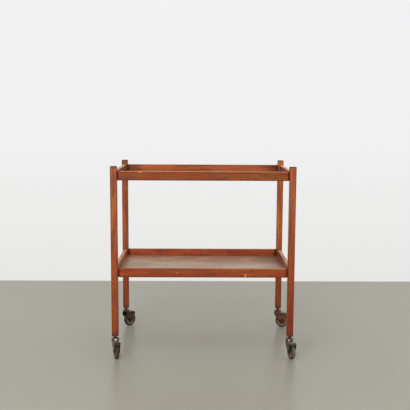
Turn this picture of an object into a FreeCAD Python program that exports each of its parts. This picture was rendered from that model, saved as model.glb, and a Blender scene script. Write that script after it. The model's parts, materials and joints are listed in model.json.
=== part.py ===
import FreeCAD, Part
import math
import os

# Two-tier tea trolley in solid teak, on four hooded swivel castors. Millimetres, +Z up, front towards -Y.
# The origin is on the floor, midway between the legs.

Vector = FreeCAD.Vector
ORIGIN = Vector(0, 0, 0)
X_AXIS, Y_AXIS, Z_AXIS = Vector(1, 0, 0), Vector(0, 1, 0), Vector(0, 0, 1)

# Trolley
WIDTH = 620.0                # across the legs, left to right
DEPTH = 380.0                # across the legs, front to back
HEIGHT = 657.0               # floor to the tops of the legs
LEG_SIDE = 22.0              # square legs
LEG_FOOT = 75.0              # floor to the bottom of a leg
UPPER_RAIL_TOP = 640.0
LOWER_RAIL_TOP = 311.0
RAIL_HEIGHT = 30.0
RAIL_THICKNESS = 12.0        # rails stand midway in the legs' thickness
PANEL_THICKNESS = 6.0        # flush with the rails' undersides
TONGUE_THICKNESS = 3.0       # the lower half of a panel's edge runs on as a tongue
TONGUE = 6.0                 # how far it reaches into the rebate at the foot of each rail

# Joinery: each rail stops short of the legs, and a thinner neck crosses the gap as a shadow line
REVEAL = 5.5
NECK_THICKNESS = 6.0
TENON_LENGTH = 7.5
TENON_HEIGHT = 22.0
LONG_ARRIS = 1.2             # eased edges along the grain
LEG_TOP_ROUND = 2.4
LEG_FOOT_CHAMFER = 2.5

# Castor: the swivel axis is the leg's own axis, and the wheel trails behind it
WHEEL_RADIUS = 25.5          # two-inch wheel
TRAIL = 17.0
TYRE_WIDTH = 11.4
TYRE_SEAT_RADIUS = 20.5
BEAD_WIDTH = 5.2             # the tyre's bead fills a channel in the wheel's rim
BEAD_DEPTH = 1.7
SHEET = 1.8                  # pressed steel of the horn
CROWN_RADIUS = 11.8
CROWN_TOP = 63.3
HOOD_TOP = 60.0
HOOD_REAR = 40.0
HOOD_NOSE = 15.8             # how far the hood reaches in front of the swivel axis
HOOD_HALF_WIDTH = 11.6
CHEEK_HALF_WIDTH = 10.0
CHEEK_PAD = 0.6              # raised seat round the axle on each cheek
STEM_RADIUS = 4.0
WASHER_THICKNESS = 1.5
WASHER_PLAY = 0.1            # between the washer and the crown's underside
AXLE_RADIUS = 2.5
BUSH_RADIUS = 3.6
BALL_RADIUS = 1.8
BALL_CIRCLE = 9.4
BALL_COUNT = 14
CAP_RADIUS = 13.7
CAP_TOP = 67.5
CAP_SHEET = 1.4
SOCKET_RADIUS = 5.5
SOCKET_TOP = 110.0
SOCKET_FLANGE = 1.6
FIXED_FIT = 0.05             # radial, parts that are pressed or riveted together
RUNNING_FIT = 0.08           # radial, parts that turn on each other

# Each leg's sides of the trolley, and where its wheel trails, in degrees from +X towards +Y
CORNERS = {
    "front_left": (-1, -1, -72.0),
    "front_right": (1, -1, -74.0),
    "rear_left": (-1, 1, 44.0),
    "rear_right": (1, 1, -8.0),
}

LEG_X = (WIDTH - LEG_SIDE) / 2
LEG_Y = (DEPTH - LEG_SIDE) / 2
INNER_X = WIDTH / 2 - LEG_SIDE
INNER_Y = DEPTH / 2 - LEG_SIDE
RAIL_INSET = (LEG_SIDE - RAIL_THICKNESS) / 2
NECK_INSET = (LEG_SIDE - NECK_THICKNESS) / 2
SOCKET_FOOT = LEG_FOOT - SOCKET_FLANGE
BALL_LEVEL = (CROWN_TOP + CAP_TOP - CAP_SHEET) / 2
WASHER_TOP = CROWN_TOP - SHEET - WASHER_PLAY
WASHER_FOOT = WASHER_TOP - WASHER_THICKNESS

os.makedirs("parts", exist_ok=True)


# ---- Ways of drawing --------------------------------------------------------------------------------

def save(name, shape):
    """Writes one named piece."""
    shape.exportStep(os.path.join("parts", name + ".step"))


def block(x0, x1, y0, y1, z0, z1):
    """A box between two corners."""
    return Part.makeBox(x1 - x0, y1 - y0, z1 - z0, Vector(x0, y0, z0))


def cylinder(radius, z0, z1):
    """An upright cylinder on the Z axis."""
    return Part.makeCylinder(radius, z1 - z0, Vector(0, 0, z0))


def closed_face(steps, place):
    """A flat face inside an outline of steps, each a point to run straight to, or a pair of points to
    pass and reach by an arc. The outline starts where its last step ends; place makes points 3D."""
    ends = [step[1] if isinstance(step[0], tuple) else step for step in steps]
    edges = []
    for i, step in enumerate(steps):
        start, end = place(ends[i - 1]), place(ends[i])
        if isinstance(step[0], tuple):
            edges.append(Part.Arc(start, place(step[0]), end).toShape())
        else:
            edges.append(Part.LineSegment(start, end).toShape())
    return Part.Face(Part.Wire(edges))


def round_corner(centre, radius, start, end):
    """An arc step about a centre, from one angle to another in degrees."""
    def at(angle):
        turn = math.radians(angle)
        return (centre[0] + radius * math.cos(turn), centre[1] + radius * math.sin(turn))

    return (at((start + end) / 2), at(end))


def dome(radius, base, rise):
    """An arc step from the rim of a dome to its crown on the axis; a negative rise points it down."""
    ball = (radius * radius + rise * rise) / (2 * rise)
    half_angle = math.asin(radius / abs(ball)) / 2
    midway = (abs(ball) * math.sin(half_angle), base + rise - ball + ball * math.cos(half_angle))
    return (midway, (0, base + rise))


def dome_outwards(radius, base, rise):
    """The same dome drawn from its crown out to its rim."""
    return (dome(radius, base, rise)[0], (radius, base))


def mirrored(steps):
    """An outline's steps below its middle line, run the other way."""
    ends = [step[1] if isinstance(step[0], tuple) else step for step in steps]
    flipped = [(ends[-1][0], -ends[-1][1])]
    for i in range(len(steps) - 1, 0, -1):
        there = (ends[i - 1][0], -ends[i - 1][1])
        if isinstance(steps[i][0], tuple):
            over = steps[i][0]
            flipped.append(((over[0], -over[1]), there))
        else:
            flipped.append(there)
    return flipped


def plate_along_y(steps, half_width):
    """A side-view outline in X and Z, made solid to both sides of the XZ plane."""
    face = closed_face(steps, lambda p: Vector(p[0], -half_width, p[1]))
    return face.extrude(Vector(0, 2 * half_width, 0))


def plate_along_x(steps, x0, x1):
    """A front-view outline in Y and Z, made solid from one X to another."""
    face = closed_face(steps, lambda p: Vector(x0, p[0], p[1]))
    return face.extrude(Vector(x1 - x0, 0, 0))


def plate_along_z(steps, z0, z1):
    """A plan outline in X and Y, made solid from one height to another."""
    face = closed_face(steps, lambda p: Vector(p[0], p[1], z0))
    return face.extrude(Vector(0, 0, z1 - z0))


def turned(steps):
    """A turned piece: an outline of radius and height, spun about Z."""
    face = closed_face(steps, lambda p: Vector(p[0], 0, p[1]))
    return face.revolve(ORIGIN, Z_AXIS, 360)


# ---- Legs -------------------------------------------------------------------------------------------

def leg(side_x, side_y):
    """A square leg with eased arrises, mortised for the rails of two trays and bored for a castor."""
    x, y, half = side_x * LEG_X, side_y * LEG_Y, LEG_SIDE / 2
    square = block(x - half, x + half, y - half, y + half, LEG_FOOT, HEIGHT)
    arrises = [edge for edge in square.Edges if edge.Length > 2 * LEG_SIDE]
    top_rim = [edge for edge in square.Edges if edge.BoundBox.ZMin > HEIGHT - half]
    ended = square.makeFillet(LEG_TOP_ROUND, top_rim)
    foot_rim = [edge for edge in ended.Edges if edge.BoundBox.ZMax < LEG_FOOT + half]
    ended = ended.makeChamfer(LEG_FOOT_CHAMFER, foot_rim)
    wood = ended.common(square.makeFillet(LONG_ARRIS, arrises))

    neck = NECK_THICKNESS / 2
    across = sorted((side_x * INNER_X, side_x * (INNER_X + TENON_LENGTH)))
    along = sorted((side_y * INNER_Y, side_y * (INNER_Y + TENON_LENGTH)))
    for rail_top in (UPPER_RAIL_TOP, LOWER_RAIL_TOP):
        low = rail_top - (RAIL_HEIGHT + TENON_HEIGHT) / 2
        high = low + TENON_HEIGHT
        wood = wood.cut(block(*across, y - neck, y + neck, low, high))
        wood = wood.cut(block(x - neck, x + neck, *along, low, high))
    return wood.cut(castor_hole().translated(Vector(x, y, 0)))


def castor_hole():
    """The hole up the middle of a leg for the castor's socket, with a drill's point at its top."""
    radius = SOCKET_RADIUS + FIXED_FIT
    end = SOCKET_TOP + 0.5
    point = 2.5
    return cylinder(radius, LEG_FOOT, end).fuse(Part.makeCone(radius, 0, point, Vector(0, 0, end)))


# ---- Trays ------------------------------------------------------------------------------------------

def rail(inner_span):
    """A rail along X, between two leg faces that stand inner_span apart, with its outer face at Y = 0
    and its underside at Z = 0. The foot of its inner face is rebated for the panel's tongue."""
    ease = LONG_ARRIS
    section = [
        (0, RAIL_HEIGHT - ease),
        round_corner((ease, RAIL_HEIGHT - ease), ease, 180, 90),
        (RAIL_THICKNESS - ease, RAIL_HEIGHT),
        round_corner((RAIL_THICKNESS - ease, RAIL_HEIGHT - ease), ease, 90, 0),
        (RAIL_THICKNESS, TONGUE_THICKNESS),
        (RAIL_THICKNESS - TONGUE, TONGUE_THICKNESS),
        (RAIL_THICKNESS - TONGUE, 0),
        (0, 0),
    ]
    face = inner_span / 2
    shoulder = face - REVEAL
    wood = plate_along_x(section, -shoulder, shoulder)
    near, far = NECK_INSET - RAIL_INSET, NECK_INSET - RAIL_INSET + NECK_THICKNESS
    tenon_low = (RAIL_HEIGHT - TENON_HEIGHT) / 2
    for side in (-1, 1):
        x0, x1 = sorted((side * shoulder, side * face))
        wood = wood.fuse(block(x0, x1, near, far, 0, RAIL_HEIGHT))
        x0, x1 = sorted((side * face, side * (face + TENON_LENGTH)))
        wood = wood.fuse(block(x0, x1, near, far, tenon_low, tenon_low + TENON_HEIGHT))
    return wood.removeSplitter()


def placed_rail(inner_span, distance, turn, rail_top):
    """A rail moved out to the tray's front, then turned to its own side about the trolley's middle."""
    wood = rail(inner_span).translated(Vector(0, -distance, rail_top - RAIL_HEIGHT))
    return wood.rotated(ORIGIN, Z_AXIS, turn)


def panel(rail_top):
    """A tray's panel: its face fills the tray between the rails and legs, and its tongue lies in the
    rails' rebates and steps round each neck and leg."""
    low = rail_top - RAIL_HEIGHT
    middle = low + TONGUE_THICKNESS
    top = low + PANEL_THICKNESS
    inside = RAIL_INSET + RAIL_THICKNESS
    rebated = inside - TONGUE
    past_neck = NECK_INSET + NECK_THICKNESS
    face_reaches = [
        (INNER_X, DEPTH / 2 - inside),
        (WIDTH / 2 - inside, INNER_Y),
    ]
    tongue_reaches = [
        (INNER_X - REVEAL, DEPTH / 2 - rebated),
        (WIDTH / 2 - rebated, INNER_Y - REVEAL),
        (INNER_X, DEPTH / 2 - past_neck),
        (WIDTH / 2 - past_neck, INNER_Y),
    ]
    sheets = [block(-x, x, -y, y, low, top) for x, y in face_reaches]
    sheets += [block(-x, x, -y, y, low, middle) for x, y in tongue_reaches]
    return sheets[0].multiFuse(sheets[1:]).removeSplitter()


def tray(name, rail_top):
    """The four rails and the panel of one tray."""
    out_x, out_y = WIDTH / 2 - RAIL_INSET, DEPTH / 2 - RAIL_INSET
    save(name + "_front_rail", placed_rail(2 * INNER_X, out_y, 0, rail_top))
    save(name + "_rear_rail", placed_rail(2 * INNER_X, out_y, 180, rail_top))
    save(name + "_right_rail", placed_rail(2 * INNER_Y, out_x, 90, rail_top))
    save(name + "_left_rail", placed_rail(2 * INNER_Y, out_x, -90, rail_top))
    save(name + "_panel", panel(rail_top))


# ---- Castor: every piece is made about its leg's axis, with the wheel trailing towards +X ------------

def stem():
    """The king pin: a rivet tail under the washer, a waisted neck below the leg, and a groove near the
    top for the socket's snap ring."""
    r = STEM_RADIUS
    tail, tail_rise = r + 2.0, 1.8
    neck, waist = r + 0.9, r + 0.3
    groove, groove_half, groove_slope = r - 0.45, 0.9, 0.6
    snap = snap_level()
    tip, tip_rise = SOCKET_TOP - 3.0, 2.4
    return turned([
        (r, WASHER_FOOT),
        (r, CAP_TOP),
        (neck, CAP_TOP),
        ((waist, (CAP_TOP + SOCKET_FOOT) / 2), (neck, SOCKET_FOOT)),
        (r, SOCKET_FOOT),
        (r, snap - groove_half - groove_slope),
        (groove, snap - groove_half),
        (groove, snap + groove_half),
        (r, snap + groove_half + groove_slope),
        (r, tip - tip_rise),
        dome(r, tip - tip_rise, tip_rise),
        (0, WASHER_FOOT - tail_rise),
        dome_outwards(tail, WASHER_FOOT, -tail_rise),
    ])


def snap_level():
    """The height of the snap ring inside the socket and of the stem's groove."""
    return SOCKET_TOP - 11.0


def socket():
    """The flanged tube pressed up into a leg, with an inner ring that the stem's head snaps past."""
    bore = STEM_RADIUS + RUNNING_FIT
    ring, ring_half, ring_slope = bore - 0.35, 0.5, 0.7
    flange, flange_bevel = SOCKET_RADIUS + 2.0, 0.5
    top_round = 0.8
    floor = SOCKET_TOP - 1.4
    snap = snap_level()
    return turned([
        (bore, snap - ring_half - ring_slope),
        (ring, snap - ring_half),
        (ring, snap + ring_half),
        (bore, snap + ring_half + ring_slope),
        (bore, floor),
        (bore - 1.5, floor),
        (bore - 1.5, SOCKET_TOP),
        (SOCKET_RADIUS - top_round, SOCKET_TOP),
        round_corner((SOCKET_RADIUS - top_round, SOCKET_TOP - top_round), top_round, 90, 0),
        (SOCKET_RADIUS, LEG_FOOT),
        (flange, LEG_FOOT),
        (flange, SOCKET_FOOT + flange_bevel),
        (flange - flange_bevel, SOCKET_FOOT),
        (bore, SOCKET_FOOT),
    ])


def ball_groove():
    """The ring of space that the balls roll in, half in the cap above and half in the crown below."""
    return Part.makeTorus(BALL_CIRCLE, BALL_RADIUS + FIXED_FIT, Vector(0, 0, BALL_LEVEL), Z_AXIS)


def race_cap():
    """The round cap under the leg: the upper race, with a skirt that hides the balls."""
    bore = STEM_RADIUS + FIXED_FIT
    inner = CAP_RADIUS - CAP_SHEET
    shoulder = 2.2
    inner_shoulder = shoulder - CAP_SHEET
    skirt_foot, lip = CROWN_TOP - 0.9, 0.4
    cap = turned([
        (bore, CAP_TOP),
        (CAP_RADIUS - shoulder, CAP_TOP),
        round_corner((CAP_RADIUS - shoulder, CAP_TOP - shoulder), shoulder, 90, 0),
        (CAP_RADIUS, skirt_foot + lip),
        (CAP_RADIUS - lip, skirt_foot),
        (inner, skirt_foot),
        (inner, CAP_TOP - shoulder),
        round_corner((inner - inner_shoulder, CAP_TOP - shoulder), inner_shoulder, 0, 90),
        (bore, CAP_TOP - CAP_SHEET),
    ])
    return cap.cut(ball_groove())


def balls():
    """The loose balls of the race, evenly spread."""
    ring = []
    for i in range(BALL_COUNT):
        turn = 2 * math.pi * i / BALL_COUNT
        centre = Vector(BALL_CIRCLE * math.cos(turn), BALL_CIRCLE * math.sin(turn), BALL_LEVEL)
        ring.append(Part.makeSphere(BALL_RADIUS, centre))
    return Part.makeCompound(ring)


def washer():
    """The thrust washer between the crown's underside and the stem's rivet tail."""
    bore = STEM_RADIUS + FIXED_FIT
    rim = 2 * STEM_RADIUS
    bevel = 0.3
    return turned([
        (bore, WASHER_TOP),
        (rim, WASHER_TOP),
        (rim, WASHER_FOOT + bevel),
        (rim - bevel, WASHER_FOOT),
        (bore, WASHER_FOOT),
    ])


def hood(inset):
    """The hood and cheeks as one solid, where its side, front and plan outlines meet. With an inset,
    it is the room inside the sheet instead."""
    top = HOOD_TOP - inset
    rear = HOOD_REAR - inset
    rim_step = 0.2
    nose = -HOOD_NOSE
    heel_round = 20.0
    heel_centre = (HOOD_REAR - heel_round, HOOD_TOP - heel_round)
    side = [(heel_centre[0], top)]
    if inset:
        side += [
            round_corner(heel_centre, heel_round - inset, 90, 0),
            (rear, 0),
            (nose - inset, 0),
            (nose - inset, top),
        ]
    else:
        lip, heel_sweep, nose_sweep = (35.9, 47.4), (30.6, 36.0), (-7.0, 41.0)
        lip_angle, heel_angle, nose_angle = 30.0, -20.0, -139.0
        nose_foot = 53.5
        boss, boss_radius = (TRAIL, WHEEL_RADIUS), 7.5
        side += [
            round_corner(heel_centre, heel_round, 90, lip_angle),
            lip,
            (heel_sweep, round_corner(boss, boss_radius, 0, heel_angle)[1]),
            round_corner(boss, boss_radius, heel_angle, nose_angle),
            (nose_sweep, (nose, nose_foot)),
            (nose, top),
        ]

    wide, narrow = HOOD_HALF_WIDTH - inset, CHEEK_HALF_WIDTH - inset
    shoulder = 4.0 - inset / 2
    joggle_low, joggle_high = 51.0, 53.6
    front_right = [
        (narrow, 0),
        (narrow, joggle_low),
        (wide, joggle_high),
        (wide, top - shoulder),
        round_corner((wide - shoulder, top - shoulder), shoulder, 0, 90),
    ]
    front_left = [
        (-(wide - shoulder), top),
        round_corner((-(wide - shoulder), top - shoulder), shoulder, 90, 180),
        (-wide, joggle_high),
        (-narrow, joggle_low),
        (-narrow, 0),
    ]

    girth = CROWN_RADIUS - rim_step - inset
    corner = 8.5 - inset
    brow = CROWN_RADIUS - rim_step - HOOD_NOSE
    plan = [
        (rear - corner, -girth),
        round_corner((rear - corner, -girth + corner), corner, -90, 0),
        (rear, girth - corner),
        round_corner((rear - corner, girth - corner), corner, 0, 90),
        (brow, girth),
        ((brow - girth, 0), (brow, -girth)),
    ]
    form = plate_along_y(side, 2 * HOOD_HALF_WIDTH)
    form = form.common(plate_along_x(front_right + front_left, 2 * nose, 2 * HOOD_REAR))
    return form.common(plate_along_z(plan, 0, CAP_TOP))


def horn():
    """The pressed horn: a round crown that carries the race, a hood over the wheel, and two cheeks
    that come down to the axle. Its nose and heel are open between the cheeks."""
    slot = CHEEK_HALF_WIDTH - SHEET
    nose_skirt, heel_skirt = 53.5, 50.0
    shell = hood(0).cut(hood(SHEET))
    shell = shell.cut(block(-2 * CROWN_RADIUS, 2 * HOOD_REAR, -slot, slot, 0, heel_skirt))
    shell = shell.cut(block(-2 * CROWN_RADIUS, 0, -slot, slot, 0, nose_skirt))

    crown = cylinder(CROWN_RADIUS, HOOD_TOP - SHEET, CROWN_TOP)
    rim_bevel = 0.5
    rim = [edge for edge in crown.Edges if edge.BoundBox.ZMin > HOOD_TOP]
    shell = shell.fuse(crown.makeChamfer(rim_bevel, rim))
    recess_radius = BALL_CIRCLE + 0.2
    shell = shell.cut(cylinder(recess_radius, nose_skirt, CROWN_TOP - SHEET))
    shell = shell.cut(cylinder(STEM_RADIUS + RUNNING_FIT, nose_skirt, CAP_TOP))
    shell = shell.cut(ball_groove())

    pad_radius, pad_slope = 6.2, 0.8
    for side in (-1, 1):
        foot = Vector(TRAIL, side * CHEEK_HALF_WIDTH, WHEEL_RADIUS)
        pad = Part.makeCone(pad_radius, pad_radius - pad_slope, CHEEK_PAD, foot, Vector(0, side, 0))
        shell = shell.fuse(pad)
    start = Vector(TRAIL, -2 * CHEEK_HALF_WIDTH, WHEEL_RADIUS)
    axle_hole = Part.makeCylinder(AXLE_RADIUS + FIXED_FIT, 4 * CHEEK_HALF_WIDTH, start, Y_AXIS)
    return shell.cut(axle_hole).removeSplitter()


def on_axle(shape):
    """Lays a turned piece along the axle: its own Z axis becomes the wheel's axis."""
    return shape.rotated(ORIGIN, X_AXIS, 90).translated(Vector(TRAIL, 0, WHEEL_RADIUS))


def axle():
    """The rivet through both cheeks, with a domed head at each end."""
    seat = CHEEK_HALF_WIDTH + CHEEK_PAD
    head, rise = 4.2, 1.7
    return on_axle(turned([
        (AXLE_RADIUS, seat),
        (head, seat),
        dome(head, seat, rise),
        (0, -seat - rise),
        dome_outwards(head, -seat, -rise),
        (AXLE_RADIUS, -seat),
    ]))


def bush():
    """The tube that keeps the cheeks apart, and that the wheel turns on."""
    half = CHEEK_HALF_WIDTH - SHEET
    tube = cylinder(BUSH_RADIUS, -half, half)
    return on_axle(tube.cut(cylinder(AXLE_RADIUS + FIXED_FIT, -half, half)))


def wheel():
    """The wheel's centre: hub, thin web, and a rim with a channel for the tyre's bead."""
    hub, hub_half, hub_bevel = 6.4, 7.8, 0.6
    web_half, web_fillet = 2.2, 1.4
    rim_half, rim_thickness = 5.0, 4.4
    rim_inner = TYRE_SEAT_RADIUS - rim_thickness
    rim_slope, rim_fillet = 0.6, 1.6
    upper = [
        (BUSH_RADIUS + RUNNING_FIT, hub_half),
        (hub - hub_bevel, hub_half),
        (hub, hub_half - hub_bevel),
        (hub, web_half + web_fillet),
        round_corner((hub + web_fillet, web_half + web_fillet), web_fillet, 180, 270),
        (rim_inner - rim_fillet, web_half),
        round_corner((rim_inner - rim_fillet, web_half + rim_fillet), rim_fillet, 270, 360),
        (rim_inner + rim_slope, rim_half),
        (TYRE_SEAT_RADIUS, rim_half),
        (TYRE_SEAT_RADIUS, BEAD_WIDTH / 2),
        (TYRE_SEAT_RADIUS - BEAD_DEPTH, BEAD_WIDTH / 2),
    ]
    return on_axle(turned(upper + mirrored(upper)))


def tyre():
    """The rubber tyre: a low crowned tread, rounded shoulders, and a bead in the wheel's channel."""
    half_width = TYRE_WIDTH / 2
    shoulder, tread_rise = 2.4, 0.3
    foot_bevel = 0.7
    tread_edge = WHEEL_RADIUS - tread_rise
    upper = [
        (TYRE_SEAT_RADIUS - BEAD_DEPTH, BEAD_WIDTH / 2),
        (TYRE_SEAT_RADIUS, BEAD_WIDTH / 2),
        (TYRE_SEAT_RADIUS, half_width - foot_bevel),
        (TYRE_SEAT_RADIUS + foot_bevel, half_width),
        (tread_edge - shoulder, half_width),
        round_corner((tread_edge - shoulder, half_width - shoulder), shoulder, 90, 0),
    ]
    lower = mirrored(upper)
    tread = ((WHEEL_RADIUS, 0), lower[0])
    return on_axle(turned(upper + [tread] + lower[1:]))


CASTOR_PIECES = (socket, stem, race_cap, balls, washer, horn, axle, bush, wheel, tyre)

# ---- The whole trolley ------------------------------------------------------------------------------

tray("upper_tray", UPPER_RAIL_TOP)
tray("lower_tray", LOWER_RAIL_TOP)

castor = {piece.__name__: piece() for piece in CASTOR_PIECES}
for corner, (side_x, side_y, trail_angle) in CORNERS.items():
    save(corner + "_leg", leg(side_x, side_y))
    under_leg = Vector(side_x * LEG_X, side_y * LEG_Y, 0)
    for name, shape in castor.items():
        placed = shape.rotated(ORIGIN, Z_AXIS, trail_angle).translated(under_leg)
        save(corner + "_castor_" + name, placed)
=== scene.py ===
# A two-tier tea trolley in oiled teak: four square legs, two railed trays and four hooded swivel
# castors. Metres, +Z up, its front towards -Y, and the origin on the floor midway between the legs.
import json
import math

import bpy
from mathutils import Matrix, Vector


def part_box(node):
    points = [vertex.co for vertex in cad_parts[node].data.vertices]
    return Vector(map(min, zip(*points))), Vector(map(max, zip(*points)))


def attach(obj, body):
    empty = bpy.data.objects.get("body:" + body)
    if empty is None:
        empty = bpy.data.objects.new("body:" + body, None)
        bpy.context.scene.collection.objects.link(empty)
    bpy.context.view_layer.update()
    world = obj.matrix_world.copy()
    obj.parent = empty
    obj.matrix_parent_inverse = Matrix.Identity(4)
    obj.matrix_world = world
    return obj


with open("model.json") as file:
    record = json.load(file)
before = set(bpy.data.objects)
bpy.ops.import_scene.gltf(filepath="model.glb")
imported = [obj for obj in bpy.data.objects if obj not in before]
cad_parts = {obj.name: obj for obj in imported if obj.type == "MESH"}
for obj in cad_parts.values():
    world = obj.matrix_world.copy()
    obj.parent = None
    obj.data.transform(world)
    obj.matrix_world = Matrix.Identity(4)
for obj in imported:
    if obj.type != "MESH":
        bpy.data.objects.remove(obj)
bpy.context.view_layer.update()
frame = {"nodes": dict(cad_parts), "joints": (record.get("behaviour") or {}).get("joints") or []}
nodes = frame["nodes"]


# ---- Studio -----------------------------------------------------------------------------------------
# A plain pale floor meets a white wall behind the trolley. The light is an even white sky, two large
# low windows in front and a lamp overhead, so that every colour comes out about as it is written.

def colour(red, green, blue):
    """A colour as it is seen, 0 to 255, made linear for a shader."""
    def linear(value):
        share = value / 255
        return share / 12.92 if share <= 0.04045 else ((share + 0.055) / 1.055) ** 2.4

    return (linear(red), linear(green), linear(blue), 1.0)


def put(tree, kind, inputs=None, **settings):
    """Adds a node, and gives its inputs their values or the sockets that feed them."""
    made = tree.nodes.new(kind if "Node" in kind else "ShaderNode" + kind)
    for name, value in settings.items():
        setattr(made, name, value)
    for name, value in (inputs or {}).items():
        if isinstance(value, bpy.types.NodeSocket):
            tree.links.new(value, made.inputs[name])
        else:
            made.inputs[name].default_value = value
    return made


def calc(tree, operation, *values):
    """A sum on numbers or sockets."""
    return put(tree, "Math", dict(enumerate(values)), operation=operation).outputs[0]


def z_of(tree, vector):
    """How high a place lies, or how far a normal looks up."""
    return put(tree, "SeparateXYZ", {0: vector}).outputs[2]


FLOOR_REACH = 7.0
WALL_BEHIND = 0.95
WALL_TOP = 6.0
WALL_SEEN_LOW = colour(231, 231, 230)
WALL_SEEN_HIGH = colour(242, 242, 242)
WALL_PALE_FROM = 0.8
WALL_PAINT = colour(236, 236, 236)
FLOOR_STONE = colour(184, 182, 167)
FLOOR_ROUGHNESS = 0.32
FLOOR_IOR = 1.36
SKY_LIGHT = 0.46
SKY_SEEN = colour(238, 238, 238)
# What gloss mirrors: the white wall behind, and in front a room that is dark low down and pale above.
ROOM_SEEN_LOW = colour(78, 76, 74)
ROOM_SEEN_HIGH = colour(250, 250, 250)
ROOM_ENDS_AT, WALL_STARTS_AT = -0.3, 0.4
ROOM_PALES_FROM, ROOM_PALE_AT = 0.15, 0.55


def quad(name, corners):
    """A flat four-sided sheet."""
    mesh = bpy.data.meshes.new(name)
    mesh.from_pydata(corners, [], [(0, 1, 2, 3)])
    made = bpy.data.objects.new(name, mesh)
    bpy.context.scene.collection.objects.link(made)
    return made


floor = quad("floor", [
    (-FLOOR_REACH, -FLOOR_REACH, 0),
    (FLOOR_REACH, -FLOOR_REACH, 0),
    (FLOOR_REACH, WALL_BEHIND, 0),
    (-FLOOR_REACH, WALL_BEHIND, 0),
])
stone = bpy.data.materials.new("floor_stone")
stone.use_nodes = True
stone_face = stone.node_tree.nodes["Principled BSDF"]
stone_face.inputs["Base Color"].default_value = FLOOR_STONE
stone_face.inputs["Roughness"].default_value = FLOOR_ROUGHNESS
stone_face.inputs["IOR"].default_value = FLOOR_IOR
floor.data.materials.append(stone)

wall = quad("wall", [
    (-FLOOR_REACH, WALL_BEHIND, 0),
    (FLOOR_REACH, WALL_BEHIND, 0),
    (FLOOR_REACH, WALL_BEHIND, WALL_TOP),
    (-FLOOR_REACH, WALL_BEHIND, WALL_TOP),
])
paint = bpy.data.materials.new("wall_paint")
paint.use_nodes = True
tree = paint.node_tree
tree.nodes.clear()
ray = put(tree, "LightPath")
seen = calc(tree, "MAXIMUM", ray.outputs["Is Camera Ray"], ray.outputs["Is Glossy Ray"])
lit = put(tree, "BsdfDiffuse", {"Color": WALL_PAINT})
height = z_of(tree, put(tree, "TexCoord").outputs["Object"])
rise = put(tree, "MapRange", {"Value": height, "From Max": WALL_PALE_FROM}).outputs[0]
pale = put(tree, "Mix", {0: rise, 6: WALL_SEEN_LOW, 7: WALL_SEEN_HIGH}, data_type="RGBA").outputs[2]
plain = put(tree, "Emission", {"Color": pale})
front = put(tree, "MixShader", {0: seen, 1: lit.outputs[0], 2: plain.outputs[0]})
back = put(tree, "BsdfTransparent")
side = put(tree, "NewGeometry").outputs["Backfacing"]
both = put(tree, "MixShader", {0: side, 1: front.outputs[0], 2: back.outputs[0]})
put(tree, "OutputMaterial", {"Surface": both.outputs[0]})
wall.data.materials.append(paint)

world = bpy.data.worlds.new("sky")
world.use_nodes = True
bpy.context.scene.world = world
tree = world.node_tree
tree.nodes.clear()
ray = put(tree, "LightPath").outputs
look = put(tree, "SeparateXYZ", {0: put(tree, "TexCoord").outputs["Generated"]}).outputs
wallwards = put(tree, "MapRange", {
    "Value": look[1], "From Min": ROOM_ENDS_AT, "From Max": WALL_STARTS_AT,
}).outputs[0]
upwards = put(tree, "MapRange", {
    "Value": look[2], "From Min": ROOM_PALES_FROM, "From Max": ROOM_PALE_AT,
}).outputs[0]
room = put(tree, "Mix", {0: upwards, 6: ROOM_SEEN_LOW, 7: ROOM_SEEN_HIGH}, data_type="RGBA")
mirrored = put(tree, "Mix", {0: wallwards, 6: room.outputs[2], 7: SKY_SEEN}, data_type="RGBA").outputs[2]
light = put(tree, "Background", {"Color": (1, 1, 1, 1), "Strength": SKY_LIGHT})
shown = put(tree, "Background", {"Color": SKY_SEEN, "Strength": 1.0})
glossed = put(tree, "Background", {"Color": mirrored, "Strength": 1.0})
sky = put(tree, "MixShader", {0: ray["Is Glossy Ray"], 1: light.outputs[0], 2: glossed.outputs[0]})
sky = put(tree, "MixShader", {0: ray["Is Camera Ray"], 1: sky.outputs[0], 2: shown.outputs[0]})
put(tree, "OutputWorld", {"Surface": sky.outputs[0]})


TROLLEY_MIDDLE = Vector((0.0, 0.0, 0.33))


def soft_box(name, place, side, glow, mirrored):
    """A square lamp turned to the trolley's middle. Its face is as bright as glow, where 1 is white."""
    lamp = bpy.data.lights.new(name, "AREA")
    lamp.shape = "SQUARE"
    lamp.size = side
    lamp.energy = glow * math.pi * side * side
    made = bpy.data.objects.new(name, lamp)
    made.location = place
    made.visible_glossy = mirrored
    made.rotation_mode = "QUATERNION"
    made.rotation_quaternion = (TROLLEY_MIDDLE - Vector(place)).to_track_quat("-Z", "Y")
    bpy.context.scene.collection.objects.link(made)


soft_box("window_left", place=(-1.5, -4.0, 1.35), side=2.4, glow=3.9, mirrored=False)
soft_box("window_right", place=(1.9, -3.8, 1.25), side=2.2, glow=3.2, mirrored=False)
soft_box("overhead", place=(-0.5, -1.3, 2.7), side=0.5, glow=7.0, mirrored=True)

CAMERA_AT = (-0.0144, -2.4882, 0.8145)
CAMERA_YAW = math.radians(0.51)
CAMERA_PITCH = math.radians(7.076)
CAMERA_ROLL = math.radians(0.287)
SENSOR_WIDTH_MM = 36.0
LENS_MM = 60.94
NEAREST_SEEN = 0.05
lens = bpy.data.cameras.new("camera")
lens.sensor_width = SENSOR_WIDTH_MM
lens.lens = LENS_MM
lens.clip_start = NEAREST_SEEN
camera = bpy.data.objects.new("camera", lens)
camera.matrix_world = (
    Matrix.Translation(CAMERA_AT)
    @ Matrix.Rotation(-CAMERA_YAW, 4, "Z")
    @ Matrix.Rotation(math.radians(90) - CAMERA_PITCH, 4, "X")
    @ Matrix.Rotation(CAMERA_ROLL, 4, "Z")
)
bpy.context.scene.collection.objects.link(camera)
bpy.context.scene.camera = camera
bpy.context.scene.view_settings.view_transform = "Standard"


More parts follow.
